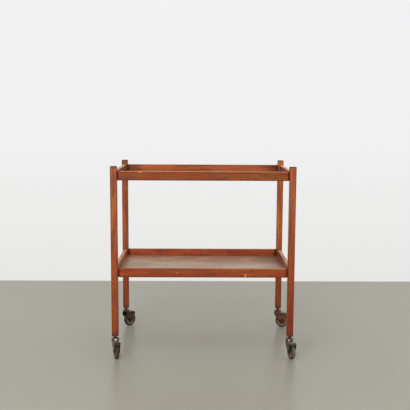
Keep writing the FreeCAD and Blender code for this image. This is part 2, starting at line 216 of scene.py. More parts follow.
# ---- Legs -------------------------------------------------------------------------------------------
# Four straight lengths of solid teak, seven eighths of an inch square, planed, eased along the
# arrises, domed a little at the top and chamfered at the foot, then stained warm and oiled.

def blend(tree, share, first, second, how="MIX"):
    """One colour over another, by a share of 0 to 1."""
    made = put(tree, "Mix", {0: share, 6: first, 7: second}, data_type="RGBA", blend_type=how)
    return made.outputs[2]


def tint(tree, mask, share, tone, over):
    """Lays a colour over a tone where a mask shows, and never by more than a share."""
    return blend(tree, calc(tree, "MULTIPLY", mask, share), tone, over)


def ramp(tree, value, low, high, first=0.0, second=1.0):
    """A value eased from low to high onto first to second."""
    ends = {"Value": value, "From Min": low, "From Max": high, "To Min": first, "To Max": second}
    return put(tree, "MapRange", ends, interpolation_type="SMOOTHSTEP").outputs[0]


def vector_calc(tree, operation, *values):
    """A sum on vectors or vector sockets."""
    return put(tree, "VectorMath", dict(enumerate(values)), operation=operation).outputs[0]


def dim(tree, tone, light):
    """A tone made darker or lighter by a socket, where 1 leaves it as it is."""
    same = put(tree, "CombineXYZ", {0: light, 1: light, 2: light}).outputs[0]
    return vector_calc(tree, "MULTIPLY", tone, same)


def cloud(tree, at, stretch, detail=2.0, rough=0.5, shift=0.0):
    """Soft noise round 0.5, with so many blobs to the metre along each axis. A shift draws another."""
    drawn = vector_calc(tree, "MULTIPLY_ADD", at, stretch, (shift, shift, shift))
    settings = {"Vector": drawn, "Scale": 1.0, "Detail": detail, "Roughness": rough}
    return put(tree, "TexNoise", settings).outputs[0]


def new_group(name, takes, gives):
    """A shader group with named inputs, whose kind follows their value, and named outputs."""
    group = bpy.data.node_groups.new(name, "ShaderNodeTree")
    for label, value in takes.items():
        size = len(value) if isinstance(value, tuple) else 1
        kind = {1: "Float", 3: "Vector", 4: "Color"}[size]
        made = group.interface.new_socket(label, in_out="INPUT", socket_type="NodeSocket" + kind)
        made.default_value = value
    for label, kind in gives.items():
        group.interface.new_socket(label, in_out="OUTPUT", socket_type="NodeSocket" + kind)
    return group, group.nodes.new("NodeGroupInput").outputs, group.nodes.new("NodeGroupOutput").inputs


# The broad streaks of teak: for each, its blobs to the metre and shift, the ends of its ramp, and how
# strongly it shows.
TEAK_STREAKS = {
    "Blush": ((52, 52, 10), 17.0, (0.42, 0.58), 0.8),
    "Plum": ((60, 60, 9), 43.0, (0.52, 0.66), 0.6),
    "Olive": ((80, 80, 15), 31.0, (0.55, 0.70), 0.4),
}
# How strongly the rings, the long streaks, the fibres and the pores darken it.
RING_SHARE, STREAK_SHARE, FIBRE_SHARE, PORE_SHARE = 0.24, 0.40, 0.24, 0.5
LATE_RING_SHARE = 0.6
RING_UNEVEN = 1.6
# The mottle is noise round 0.5, so that twice its value leaves the tone as bright as before.
MOTTLE_LIGHT = 2.0
# How much duller the fibres and pores are, and how far each stands up or lies in.
FIBRE_DULLS, PORE_DULLS = 0.22, 0.15
FIBRE_RISE, RING_RISE, PORE_RISE = 0.5, -0.25, -0.8

# Teak cut from a log whose heart runs up the Z axis: rings, fibres, short dark pores, and a figure of
# broad streaks that drifts from orange to red, plum and olive brown.
teak_grain, take, give = new_group(
    "teak_grain",
    {
        "Vector": (0.0, 0.0, 0.0),
        "Ground": colour(160, 86, 48),
        "Blush": colour(158, 60, 30),
        "Plum": colour(126, 64, 48),
        "Olive": colour(122, 84, 42),
        "Line": colour(96, 45, 24),
        "Ring Gap": 0.0042,
        "Wander": 0.022,
        "Roughness": 0.46,
    },
    {"Color": "Color", "Roughness": "Float", "Height": "Float"},
)
tree = teak_grain
at = take["Vector"]
apart = put(tree, "SeparateXYZ", {0: at}).outputs
across = calc(tree, "SQRT", calc(
    tree, "ADD", calc(tree, "MULTIPLY", apart[0], apart[0]), calc(tree, "MULTIPLY", apart[1], apart[1]),
))
drift = calc(tree, "SUBTRACT", cloud(tree, at, (7, 7, 1.6)), 0.5)
ring_at = calc(tree, "MULTIPLY_ADD", drift, take["Wander"], across)
uneven = calc(tree, "MULTIPLY", cloud(tree, at, (90, 90, 3), shift=4.0), RING_UNEVEN)
phase = calc(tree, "FRACT", calc(tree, "ADD", calc(tree, "DIVIDE", ring_at, take["Ring Gap"]), uneven))
late = ramp(tree, phase, 0.45, 1.0)
early = ramp(tree, phase, 0.14, 0.0)
ring = calc(tree, "MAXIMUM", calc(tree, "MULTIPLY", late, LATE_RING_SHARE), early)
fibre = cloud(tree, at, (900, 900, 16), detail=3.0, shift=9.0)
streak = ramp(tree, cloud(tree, at, (130, 130, 9), detail=3.0, shift=2.0), 0.42, 0.66)
pore_noise = cloud(tree, at, (2300, 2300, 95), detail=1.0, shift=5.0)
pore = ramp(tree, calc(tree, "MULTIPLY_ADD", early, 0.07, pore_noise), 0.60, 0.70)
tone = take["Ground"]
for streak_colour, (stretch, shift, (low, high), share) in TEAK_STREAKS.items():
    shown = ramp(tree, cloud(tree, at, stretch, shift=shift), low, high)
    tone = tint(tree, shown, share, tone, take[streak_colour])
lines = calc(tree, "MULTIPLY_ADD", ring, RING_SHARE, calc(tree, "MULTIPLY", streak, STREAK_SHARE))
lines = calc(tree, "MULTIPLY_ADD", ramp(tree, fibre, 0.38, 0.72), FIBRE_SHARE, lines)
tone = blend(tree, lines, tone, take["Line"])
tone = tint(tree, pore, PORE_SHARE, tone, take["Line"])
mottle = cloud(tree, at, (190, 190, 90), detail=4.0, rough=0.85, shift=57.0)
tone = dim(tree, tone, calc(tree, "MULTIPLY", mottle, MOTTLE_LIGHT))
tree.links.new(tone, give["Color"])
fibre_off = calc(tree, "SUBTRACT", fibre, 0.5)
dulled = calc(tree, "MULTIPLY_ADD", fibre_off, FIBRE_DULLS, take["Roughness"])
tree.links.new(calc(tree, "MULTIPLY_ADD", pore, PORE_DULLS, dulled), give["Roughness"])
raised = calc(tree, "MULTIPLY_ADD", fibre, FIBRE_RISE, calc(tree, "MULTIPLY", ring, RING_RISE))
tree.links.new(calc(tree, "MULTIPLY_ADD", pore, PORE_RISE, raised), give["Height"])

# A ragged line along each arris of a squared piece, which carries wear, a painted glint and a darker
# edge. It takes coordinates from the piece's middle, and the piece's half sizes. Near an arris two of the
# three depths under the faces are small, so that the second smallest tells how near it is.
RAGGED_BY, RAGGED_FROM = 2.6, -0.5
arris_wear_and_glint, take, give = new_group(
    "arris_wear_and_glint",
    {"Vector": (0.0, 0.0, 0.0), "Half": (0.01, 0.01, 0.3), "Width": 0.0016},
    {"Mask": "Float"},
)
tree = arris_wear_and_glint
depth = vector_calc(tree, "SUBTRACT", take["Half"], vector_calc(tree, "ABSOLUTE", take["Vector"]))
apart = put(tree, "SeparateXYZ", {0: depth}).outputs
low = calc(tree, "MINIMUM", apart[0], apart[1])
high = calc(tree, "MAXIMUM", apart[0], apart[1])
second = calc(tree, "MAXIMUM", low, calc(tree, "MINIMUM", high, apart[2]))
noise = cloud(tree, take["Vector"], (170, 170, 170))
ragged = calc(tree, "MULTIPLY_ADD", noise, RAGGED_BY, RAGGED_FROM)
reach = calc(tree, "MULTIPLY", take["Width"], ragged)
tree.links.new(ramp(tree, second, reach, 0.0), give["Mask"])


def surface(name, plain=None):
    """A material, its tree, its Principled surface and its Object coordinates."""
    made = bpy.data.materials.new(name)
    made.use_nodes = True
    face = made.node_tree.nodes["Principled BSDF"]
    for label, value in (plain or {}).items():
        face.inputs[label].default_value = value
    return made, made.node_tree, face, put(made.node_tree, "TexCoord").outputs


def bump(tree, face, height, deep):
    """Raises a surface by a height of 0 to 1, so deep in metres."""
    made = put(tree, "Bump", {"Height": height, "Distance": deep, "Strength": 1.0})
    tree.links.new(made.outputs[0], face.inputs["Normal"])


def dress(piece, material):
    """Gives a CAD piece its finish."""
    for place in nodes[piece].material_slots:
        place.material = material


GRAIN_TURNS = {
    "Z": (0.0, 0.0, 0.0),
    "X": (0.0, math.radians(-90), 0.0),
    "Y": (math.radians(90), 0.0, 0.0),
}


def cut_teak(tree, coordinates, piece, runs, heart, settings):
    """The teak group on one piece, with its grain running along an axis of the trolley and the heart
    of its log so far from the piece's middle. Gives the group's outputs, the coordinates from the piece's
    middle and its half sizes."""
    low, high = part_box(piece)
    middle = (low + high) / 2
    centred = put(tree, "Mapping", {"Vector": coordinates, "Location": tuple(-middle)}).outputs[0]
    turned = put(tree, "Mapping", {"Vector": centred, "Rotation": GRAIN_TURNS[runs], "Location": heart})
    grain = put(tree, "ShaderNodeGroup", {"Vector": turned.outputs[0], **settings}, node_tree=teak_grain)
    return grain.outputs, centred, tuple((high - low) / 2)


def arrises(tree, centred, half, width):
    """The ragged line along each arris of a piece."""
    settings = {"Vector": centred, "Half": half, "Width": width}
    return put(tree, "ShaderNodeGroup", settings, node_tree=arris_wear_and_glint).outputs[0]


# For each leg, its teak and the redder streaks in it, where the heart of its log lay, and how light it
# is painted at the foot and at the head, with the height from which it is as light as the head.
LEG_WOODS = {
    "front_left": (colour(170, 90, 43), colour(170, 68, 32), (0.031, 0.052, 0.4), (0.98, 1.02, 0.50)),
    "front_right": (colour(166, 82, 43), colour(170, 62, 34), (-0.044, 0.037, 1.9), (0.84, 1.0, 0.55)),
    "rear_left": (colour(174, 88, 42), colour(166, 66, 32), (0.026, -0.061, 3.1), (1.12, 0.95, 0.34)),
    "rear_right": (colour(188, 100, 46), colour(176, 76, 36), (-0.05, -0.03, 4.6), (0.76, 1.21, 0.40)),
}
LEG_PLUM = colour(144, 77, 50)
LEG_OLIVE = colour(132, 90, 36)
LEG_LINE = colour(100, 44, 20)
# The legs are paler above the lower tray and redder below it: partly sun-fading, and partly painted
# light from above with painted shade low down.
LIGHT_AND_FADE_FROM = 0.12
SHADED_UNFADED = (0.83, 0.60, 0.30)
LIT_FADED = (1.15, 1.32, 1.22)
# The arrises are painted darker.
LEG_ARRIS_DARK = colour(104, 54, 34)
LEG_ARRIS_DARK_SHARE = 0.6
LEG_ARRIS = 0.0046
LEG_FOOT_TONE = colour(86, 40, 26)
FOOT_GRIME_RISE = 0.03
FOOT_GRIME_SHARE = 0.75
# The end grain on top has drunk oil and dirt, most of all round its rim.
LEG_TOP_TONE = colour(104, 80, 58)
LEG_RIM_TONE = colour(66, 58, 50)
LEG_TOP_SHARES = {"front_left": 0.95, "front_right": 1.0, "rear_left": 0.75, "rear_right": 0.95}
END_GRAIN_FROM, END_GRAIN_FULL = 0.0045, 0.001
END_GRAIN_DULLER = 0.2
GRAIN_DEPTH = 0.00012

for corner, (ground, blush, heart, (foot_light, head_light, lit_height)) in LEG_WOODS.items():
    piece = corner + "_leg"
    low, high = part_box(piece)
    teak, tree, face, coordinates = surface("teak_" + piece)
    settings = {"Ground": ground, "Blush": blush, "Plum": LEG_PLUM, "Olive": LEG_OLIVE, "Line": LEG_LINE}
    grain, centred, half = cut_teak(tree, coordinates["Object"], piece, "Z", heart, settings)
    height = z_of(tree, coordinates["Object"])
    # Paler up the leg and redder low down: sun-fading, with painted light above and painted shade below.
    lit_and_faded = put(tree, "MapRange", {"Value": height, "From Min": LIGHT_AND_FADE_FROM, "From Max": lit_height}).outputs[0]
    at_foot = tuple(share * foot_light for share in SHADED_UNFADED) + (1.0,)
    at_head = tuple(share * head_light for share in LIT_FADED) + (1.0,)
    tone = blend(tree, 1.0, grain["Color"], blend(tree, lit_and_faded, at_foot, at_head), how="MULTIPLY")
    tone = tint(tree, arrises(tree, centred, half, LEG_ARRIS), LEG_ARRIS_DARK_SHARE, tone, LEG_ARRIS_DARK)
    grimed = ramp(tree, height, low.z + FOOT_GRIME_RISE, low.z)
    tone = tint(tree, grimed, FOOT_GRIME_SHARE, tone, LEG_FOOT_TONE)
    up = z_of(tree, coordinates["Normal"])
    near_top = ramp(tree, height, high.z - END_GRAIN_FROM, high.z - END_GRAIN_FULL)
    end_grain = calc(tree, "MAXIMUM", ramp(tree, up, 0.45, 0.95), near_top)
    top_tone = blend(tree, ramp(tree, up, 0.90, 0.99), LEG_RIM_TONE, LEG_TOP_TONE)
    tone = tint(tree, end_grain, LEG_TOP_SHARES[corner], tone, top_tone)
    tree.links.new(tone, face.inputs["Base Color"])
    dull = calc(tree, "MULTIPLY_ADD", end_grain, END_GRAIN_DULLER, grain["Roughness"])
    tree.links.new(dull, face.inputs["Roughness"])
    bump(tree, face, grain["Height"], GRAIN_DEPTH)
    dress(piece, teak)


# ---- Rails ------------------------------------------------------------------------------------------
# Each tray is framed by four teak rails on edge, rebated for the panel and tenoned into the legs. Each
# rail's end is a thin neck, painted with shade so that it shows as a dark line before the leg, and the
# tops are painted pale, partly bleached by cloths and partly a painted sheen.

# For each rail, the axis that it runs along, its teak and the redder streaks in it, and where the
# heart of its log lay.
RAIL_WOODS = {
    "upper_tray_front": ("X", colour(153, 80, 26), colour(156, 62, 20), (0.04, 0.07, 0.2)),
    "upper_tray_rear": ("X", colour(190, 106, 56), colour(188, 88, 46), (-0.05, 0.06, 1.3)),
    "upper_tray_left": ("Y", colour(160, 84, 44), colour(158, 70, 38), (0.03, 0.08, 2.4)),
    "upper_tray_right": ("Y", colour(160, 82, 42), colour(158, 66, 36), (-0.06, 0.05, 3.5)),
    "lower_tray_front": ("X", colour(174, 77, 12), colour(168, 60, 10), (0.05, -0.06, 4.7)),
    "lower_tray_rear": ("X", colour(197, 95, 52), colour(200, 82, 46), (-0.04, -0.07, 5.8)),
    # Paler teak on the lower side rails is partly painted light, making up for the upper tray's shade.
    "lower_tray_left": ("Y", colour(218, 134, 86), colour(212, 112, 76), (0.07, -0.04, 6.9)),
    "lower_tray_right": ("Y", colour(216, 132, 84), colour(210, 108, 74), (-0.07, -0.04, 8.1)),
}
RAIL_PLUM = colour(132, 70, 54)
RAIL_OLIVE = colour(128, 84, 32)
RAIL_LINE = colour(96, 42, 20)
# A worn spot, painted corner shade at the ends of the upper rear rail, lighter stretches, and two
# knocks. For each, its middle, its reach and how much of that is solid, its colour, and how strongly it
# shows.
RAIL_MARKS = {
    "upper_tray_front": [
        ((-0.210, -0.185, 0.640), (0.012, 0.006, 0.0048), 0.6, colour(216, 132, 92), 1.0),
    ],
    "upper_tray_rear": [
        # Painted corner shade at both ends, then two lighter stretches of the teak.
        ((-0.300, 0.174, 0.630), (0.065, 0.020, 0.060), 0.6, colour(110, 62, 38), 0.4),
        ((0.305, 0.174, 0.630), (0.060, 0.020, 0.060), 0.6, colour(104, 50, 28), 0.45),
        ((-0.170, 0.174, 0.630), (0.080, 0.020, 0.030), 0.6, colour(216, 122, 62), 0.45),
        ((0.130, 0.174, 0.630), (0.130, 0.020, 0.030), 0.6, colour(206, 124, 78), 0.3),
    ],
    "lower_tray_front": [
        ((-0.089, -0.185, 0.2968), (0.0022, 0.004, 0.0022), 0.6, colour(222, 158, 120), 1.0),
        ((0.144, -0.185, 0.2875), (0.0020, 0.004, 0.0065), 0.6, colour(224, 164, 112), 1.0),
    ],
}
# How pale each top is painted, partly bleached and partly a painted sheen, and how much of that shows to
# the left and to the right of its middle.
PALE_TOPS_AND_SHEEN = {
    "upper_tray_front": (colour(234, 150, 88), 1.0, 1.0),
    "upper_tray_rear": (colour(196, 132, 88), 1.0, 1.0),
    "upper_tray_left": (colour(255, 220, 182), 1.0, 1.0),
    "upper_tray_right": (colour(254, 208, 174), 1.0, 1.0),
    "lower_tray_front": (colour(216, 162, 124), 0.1, 1.0),
    "lower_tray_rear": (colour(206, 156, 116), 1.0, 1.0),
    "lower_tray_left": (colour(230, 178, 144), 1.0, 1.0),
    "lower_tray_right": (colour(240, 194, 164), 1.0, 1.0),
}
PALE_FROM, PALE_TO = -0.10, 0.14
RAIL_ARRIS = 0.0020
RAIL_ARRIS_SHARE = 0.6
UPPER_HALF_FROM = 0.004
# A painted shade line lies just below the top, and the rails are darker along the bottom.
SHADE_LINE_BELOW_TOP = 0.0036
SHADE_LINE_REACH = 0.0028
SHADE_LINE_SHARE = 0.4
RAIL_FOOT_TONE = colour(80, 46, 30)
RAIL_FOOT_DEPTH = 0.0065
RAIL_FOOT_SHARE = 0.9
NECK_PAINTED_SHADE = colour(112, 24, 2)
TENON_AND_NECK = 0.013
NECK_SHADE_SPILL = 0.0018
PALE_TOP_DULLER = 0.1


def spot(tree, at, centre, reach, core):
    """A single mark: 1 in the core of a small ellipsoid and 0 outside it."""
    away = vector_calc(tree, "DIVIDE", vector_calc(tree, "SUBTRACT", at, centre), reach)
    far = put(tree, "VectorMath", {0: away}, operation="LENGTH").outputs["Value"]
    return ramp(tree, far, 1.0, core)


def add_marks(tree, at, tone, marks):
    """Lays a list of single marks over a tone."""
    for centre, reach, core, mark, share in marks:
        tone = tint(tree, spot(tree, at, centre, reach, core), share, tone, mark)
    return tone


def band(tree, value, middle, half):
    """A soft band round a middle value, 1 in its core and 0 outside."""
    off = calc(tree, "ABSOLUTE", calc(tree, "SUBTRACT", value, middle))
    return ramp(tree, off, half, half * 0.3)


for rail, (runs, ground, blush, heart) in RAIL_WOODS.items():
    piece = rail + "_rail"
    pale, at_left, at_right = PALE_TOPS_AND_SHEEN[rail]
    teak, tree, face, coordinates = surface("teak_" + piece)
    settings = {"Ground": ground, "Blush": blush, "Plum": RAIL_PLUM, "Olive": RAIL_OLIVE, "Line": RAIL_LINE}
    grain, centred, half = cut_teak(tree, coordinates["Object"], piece, runs, heart, settings)
    apart = put(tree, "SeparateXYZ", {0: centred}).outputs
    upper = ramp(tree, apart[2], 0.0, UPPER_HALF_FROM)
    along = ramp(tree, apart[0], PALE_FROM, PALE_TO, at_left, at_right)
    # The upper arrises painted pale: wear, and a painted glint of light from above.
    worn_and_glinting = calc(tree, "MULTIPLY", arrises(tree, centred, half, RAIL_ARRIS), upper)
    worn_and_glinting = calc(tree, "MULTIPLY", worn_and_glinting, along)
    tone = tint(tree, worn_and_glinting, RAIL_ARRIS_SHARE, grain["Color"], pale)
    foot = ramp(tree, apart[2], RAIL_FOOT_DEPTH - half[2], -half[2])
    tone = tint(tree, foot, RAIL_FOOT_SHARE, tone, RAIL_FOOT_TONE)
    # A painted shade line just under the top arris.
    shade_under_arris = band(tree, apart[2], half[2] - SHADE_LINE_BELOW_TOP, SHADE_LINE_REACH)
    tone = tint(tree, shade_under_arris, SHADE_LINE_SHARE, tone, RAIL_LINE)
    # Top faces painted pale: bleached by cloths, and a painted sheen.
    top = ramp(tree, z_of(tree, coordinates["Normal"]), 0.4, 0.9)
    patchy = ramp(tree, cloud(tree, coordinates["Object"], (45, 45, 45), shift=3.0), 0.3, 0.7, 0.45, 1.0)
    bleached_and_sheen = calc(tree, "MULTIPLY", calc(tree, "MULTIPLY", top, patchy), along)
    tone = blend(tree, bleached_and_sheen, tone, pale)
    run = "XY".index(runs)
    past = calc(tree, "ABSOLUTE", apart[run])
    shoulder = half[run] - TENON_AND_NECK
    # Painted shade in the neck and just past its shoulder.
    neck_painted_shade = ramp(tree, past, shoulder - NECK_SHADE_SPILL, shoulder - NECK_SHADE_SPILL / 2)
    tone = blend(tree, neck_painted_shade, tone, NECK_PAINTED_SHADE)
    tone = add_marks(tree, coordinates["Object"], tone, RAIL_MARKS.get(rail, []))
    tree.links.new(tone, face.inputs["Base Color"])
    dull = calc(tree, "MULTIPLY_ADD", bleached_and_sheen, PALE_TOP_DULLER, grain["Roughness"])
    tree.links.new(dull, face.inputs["Roughness"])
    bump(tree, face, grain["Height"], GRAIN_DEPTH)
    dress(piece, teak)


# ---- Panels -----------------------------------------------------------------------------------------
# A thin veneered board lies in the rebate of each tray, its face grain along the trolley. The oil has
# worn off the faces and left them pale and greyish, with spots from wet glasses and hot cups. A painted
# sheen adds to the pale grey at the front, and painted shade darkens the rear, the right and a corner.

# Where the heart of each veneer's log lay.
PANEL_WOODS = {
    "upper_tray": (0.045, 0.02, 11.0),
    "lower_tray": (-0.02, 0.05, 14.0),
}
VENEER_FIGURE = {
    "Ground": colour(226, 184, 148),
    "Blush": colour(222, 170, 134),
    "Plum": colour(196, 150, 126),
    "Olive": colour(192, 170, 130),
    "Line": colour(140, 94, 64),
    "Ring Gap": 0.009,
    "Wander": 0.05,
    "Roughness": 0.46,
}
VENEER_WORN = colour(242, 224, 200)
RUBBED_SHARE, SPOTS_SHARE = 0.65, 0.45
WORN_DULLER = 0.08
# Towards the rear and the right the panel is darker, partly from oil left there and partly as painted
# shade: its ramps across and along the panel, and how much shows at the left and at the right.
VENEER_OILED_AND_SHADED = colour(175, 103, 59)
OIL_AND_SHADE_ACROSS = (-0.07, 0.11)
OIL_AND_SHADE_ALONG = (-0.40, 0.25)
OIL_AND_SHADE_SHARES = (0.22, 0.63)
# The front part is paler and greyer: partly a greyed finish and partly a painted sheen.
VENEER_GREYED_AND_SHEEN = colour(228, 212, 186)
GREY_AND_SHEEN_ACROSS = (0.08, -0.02)
GREY_AND_SHEEN_SHARE = 0.42
# The panel is darker along all four edges, and a painted shadow lies over the right end.
VENEER_EDGE = colour(124, 78, 52)
EDGE_DARK_FROM, EDGE_DARK_FULL = 0.034, 0.008
EDGE_DARK_SHARE = 0.5
RIGHT_END_SHADOW_ALONG = (0.20, 0.28)
RIGHT_END_SHADOW_SHARE = 0.35
# Two pale ovals from cups, a grey zone, and painted shade in the right rear corner, listed as a
# rail's marks are.
VENEER_MARKS = [
    ((-0.144, 0.106, 0.287), (0.021, 0.011, 0.004), 0.4, colour(240, 200, 162), 0.7),
    ((0.002, 0.108, 0.287), (0.023, 0.012, 0.004), 0.4, colour(240, 200, 158), 0.7),
    ((-0.225, 0.000, 0.287), (0.085, 0.070, 0.010), 0.0, colour(182, 160, 132), 0.7),
    # Painted shade in the right rear corner.
    ((0.262, 0.105, 0.287), (0.110, 0.130, 0.010), 0.0, colour(124, 80, 56), 0.7),
]
VENEER_BELOW = colour(138, 84, 52)
BELOW_SHARE = 0.6
VENEER_GRAIN_DEPTH = 0.00006

for tray, heart in PANEL_WOODS.items():
    piece = tray + "_panel"
    veneer, tree, face, coordinates = surface("veneer_" + piece)
    grain, centred, half = cut_teak(tree, coordinates["Object"], piece, "X", heart, VENEER_FIGURE)
    rub_and_highlight = ramp(tree, cloud(tree, centred, (7, 16, 7), detail=4.0, shift=1.0), 0.42, 0.66)
    spots = ramp(tree, cloud(tree, centred, (22, 30, 22), detail=3.0, shift=6.0), 0.58, 0.76)
    rub_and_highlight = calc(tree, "MULTIPLY", rub_and_highlight, RUBBED_SHARE)
    spots = calc(tree, "MULTIPLY", spots, SPOTS_SHARE)
    pale = calc(tree, "MAXIMUM", rub_and_highlight, spots)
    tone = blend(tree, pale, grain["Color"], VENEER_WORN)
    along, across, _ = put(tree, "SeparateXYZ", {0: centred}).outputs
    # Darker to the rear and the right: left oil, and painted shade.
    oiled_and_shaded = calc(
        tree, "MULTIPLY",
        ramp(tree, across, *OIL_AND_SHADE_ACROSS), ramp(tree, along, *OIL_AND_SHADE_ALONG, *OIL_AND_SHADE_SHARES),
    )
    tone = blend(tree, oiled_and_shaded, tone, VENEER_OILED_AND_SHADED)
    # Paler and greyer at the front: greyed finish, and a painted sheen.
    tone = tint(tree, ramp(tree, across, *GREY_AND_SHEEN_ACROSS), GREY_AND_SHEEN_SHARE, tone, VENEER_GREYED_AND_SHEEN)
    tone = add_marks(tree, coordinates["Object"], tone, VENEER_MARKS)
    inset = vector_calc(tree, "SUBTRACT", half, vector_calc(tree, "ABSOLUTE", centred))
    from_ends, from_sides, _ = put(tree, "SeparateXYZ", {0: inset}).outputs
    # Darker along all four edges.
    grimed = ramp(tree, calc(tree, "MINIMUM", from_ends, from_sides), EDGE_DARK_FROM, EDGE_DARK_FULL)
    tone = tint(tree, grimed, EDGE_DARK_SHARE, tone, VENEER_EDGE)
    # A painted shadow over the right end.
    tone = tint(tree, ramp(tree, along, *RIGHT_END_SHADOW_ALONG), RIGHT_END_SHADOW_SHARE, tone, VENEER_EDGE)
    below = blend(tree, BELOW_SHARE, grain["Color"], VENEER_BELOW)
    tone = blend(tree, ramp(tree, z_of(tree, coordinates["Normal"]), -0.2, 0.2), below, tone)
    tree.links.new(tone, face.inputs["Base Color"])
    dull = calc(tree, "MULTIPLY_ADD", pale, WORN_DULLER, grain["Roughness"])
    tree.links.new(dull, face.inputs["Roughness"])
    bump(tree, face, grain["Height"], VENEER_GRAIN_DEPTH)
    dress(piece, veneer)


# ---- Panel pins -------------------------------------------------------------------------------------
# Small round-headed steel pins, driven up through the thin edge of each panel into the rails. Only
# their heads stand out, in lines along the undersides of both trays.

PIN_LINE_X, PIN_LINE_Y = 0.296, 0.176
PIN_RUN_X, PIN_RUN_Y = 0.270, 0.150
PIN_GAP = 0.068
PIN_HEAD_RADIUS = 0.0012
PIN_HEAD_RISE = 0.0006
PIN_HEAD_SIDES, PIN_HEAD_RINGS = 12, 6


def socket_named(group, name):
    """The identifier of a group's named input, which is what a modifier sets it by."""
    return next(item.identifier for item in group.interface.items_tree if item.name == name)


pin_rows = bpy.data.node_groups.new("pin_rows", "GeometryNodeTree")
PIN_INPUTS = {
    "Line X": ("Float", PIN_LINE_X),
    "Line Y": ("Float", PIN_LINE_Y),
    "Run X": ("Float", PIN_RUN_X),
    "Run Y": ("Float", PIN_RUN_Y),
    "Gap": ("Float", PIN_GAP),
    "Head Radius": ("Float", PIN_HEAD_RADIUS),
    "Head Rise": ("Float", PIN_HEAD_RISE),
    "Upper Underside": ("Float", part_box("upper_tray_panel")[0].z),
    "Lower Underside": ("Float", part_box("lower_tray_panel")[0].z),
    "Steel": ("Material", None),
}
for label, (kind, value) in PIN_INPUTS.items():
    pin_rows.interface.new_socket(label, in_out="INPUT", socket_type="NodeSocket" + kind)
pin_rows.interface.new_socket("Pins", in_out="OUTPUT", socket_type="NodeSocketGeometry")
take = pin_rows.nodes.new("NodeGroupInput").outputs
give = pin_rows.nodes.new("NodeGroupOutput").inputs


def pin_line(half_x, half_y, from_side):
    """A line of pins to one side of the middle, along the other axis."""
    ends = []
    for sign in (-1, 1):
        along = calc(pin_rows, "MULTIPLY", half_x if from_side == "Y" else half_y, sign)
        off = calc(pin_rows, "MULTIPLY", half_y if from_side == "Y" else half_x, -1)
        parts = {0: along, 1: off} if from_side == "Y" else {0: off, 1: along}
        ends.append(put(pin_rows, "CombineXYZ", parts).outputs[0])
    return put(pin_rows, "GeometryNodeCurvePrimitiveLine", {"Start": ends[0], "End": ends[1]}).outputs[0]


def joined(*shapes):
    """Several geometries as one."""
    made = put(pin_rows, "GeometryNodeJoinGeometry")
    for shape in shapes:
        pin_rows.links.new(shape, made.inputs[0])
    return made.outputs[0]


def moved(shape, **inputs):
    """A geometry turned, scaled or shifted."""
    return put(pin_rows, "GeometryNodeTransform", {"Geometry": shape, **inputs}).outputs[0]


half_ring = joined(
    pin_line(take["Run X"], take["Line Y"], "Y"),
    pin_line(take["Line X"], take["Run Y"], "X"),
)
whole_ring = joined(half_ring, moved(half_ring, Rotation=(0.0, 0.0, math.pi)))
levels = [
    moved(whole_ring, Translation=put(pin_rows, "CombineXYZ", {2: take[level]}).outputs[0])
    for level in ("Upper Underside", "Lower Underside")
]
spaced = put(
    pin_rows, "GeometryNodeResampleCurve", {"Curve": joined(*levels), "Length": take["Gap"]}, mode="LENGTH",
)
ball = put(pin_rows, "GeometryNodeMeshUVSphere", {
    "Segments": PIN_HEAD_SIDES, "Rings": PIN_HEAD_RINGS, "Radius": take["Head Radius"],
})
flat = put(pin_rows, "CombineXYZ", {
    0: 1.0, 1: 1.0, 2: calc(pin_rows, "DIVIDE", take["Head Rise"], take["Head Radius"]),
}).outputs[0]
heads = put(pin_rows, "GeometryNodeInstanceOnPoints", {
    "Points": spaced.outputs[0], "Instance": moved(ball.outputs[0], Scale=flat),
})
real = put(pin_rows, "GeometryNodeRealizeInstances", {0: heads.outputs[0]})
steeled = put(pin_rows, "GeometryNodeSetMaterial", {"Geometry": real.outputs[0], "Material": take["Steel"]})
pin_rows.links.new(steeled.outputs[0], give["Pins"])

# Old steel: bare metal with a mottled lacquer or plating over it, and rust that has come through. Fine
# specks lighten and darken it. Rust is matt and duller, and eats in.
PATCH_GAIN = 0.8
SPECK_LIGHT, SPECK_DARK = 0.7, 0.65
SPECK_DULLS, RUST_DULLS = 0.2, 0.35
RUST_SHINE, RUST_RISE = -0.85, -0.6
old_steel, take, give = new_group(
    "old_steel",
    {
        "Vector": (0.0, 0.0, 0.0),
        "Metal": colour(120, 112, 100),
        "Lacquer": colour(64, 50, 38),
        "Rust": colour(96, 56, 34),
        "Lacquer Share": 0.5,
        "Rust Share": 0.2,
        "Roughness": 0.32,
        "Lacquer Metallic": 1.0,
    },
    {"Color": "Color", "Metallic": "Float", "Roughness": "Float", "Height": "Float"},
)


def patches(tree, noise, share, low, high):
    """A noise round 0.5 made into patches, which cover more of the steel as their share rises."""
    more = calc(tree, "SUBTRACT", share, 0.5)
    return ramp(tree, calc(tree, "MULTIPLY_ADD", more, PATCH_GAIN, noise), low, high)


tree = old_steel
coarse = cloud(tree, take["Vector"], (170, 170, 170), detail=4.0, rough=0.6)
pits = cloud(tree, take["Vector"], (420, 420, 420), detail=5.0, rough=0.7, shift=13.0)
speck = cloud(tree, take["Vector"], (1500, 1500, 1500), detail=2.0, shift=7.0)
lacquer = patches(tree, coarse, take["Lacquer Share"], 0.44, 0.56)
rust = patches(tree, pits, take["Rust Share"], 0.46, 0.60)
tone = blend(tree, lacquer, take["Metal"], take["Lacquer"])
tone = blend(tree, rust, tone, take["Rust"])
tone = dim(tree, tone, calc(tree, "MULTIPLY_ADD", speck, SPECK_LIGHT, SPECK_DARK))
tree.links.new(tone, give["Color"])
shine = ramp(tree, lacquer, 0.0, 1.0, 1.0, take["Lacquer Metallic"])
shine = calc(tree, "MULTIPLY", shine, calc(tree, "MULTIPLY_ADD", rust, RUST_SHINE, 1.0))
tree.links.new(shine, give["Metallic"])
dulled = calc(tree, "MULTIPLY_ADD", rust, RUST_DULLS, take["Roughness"])
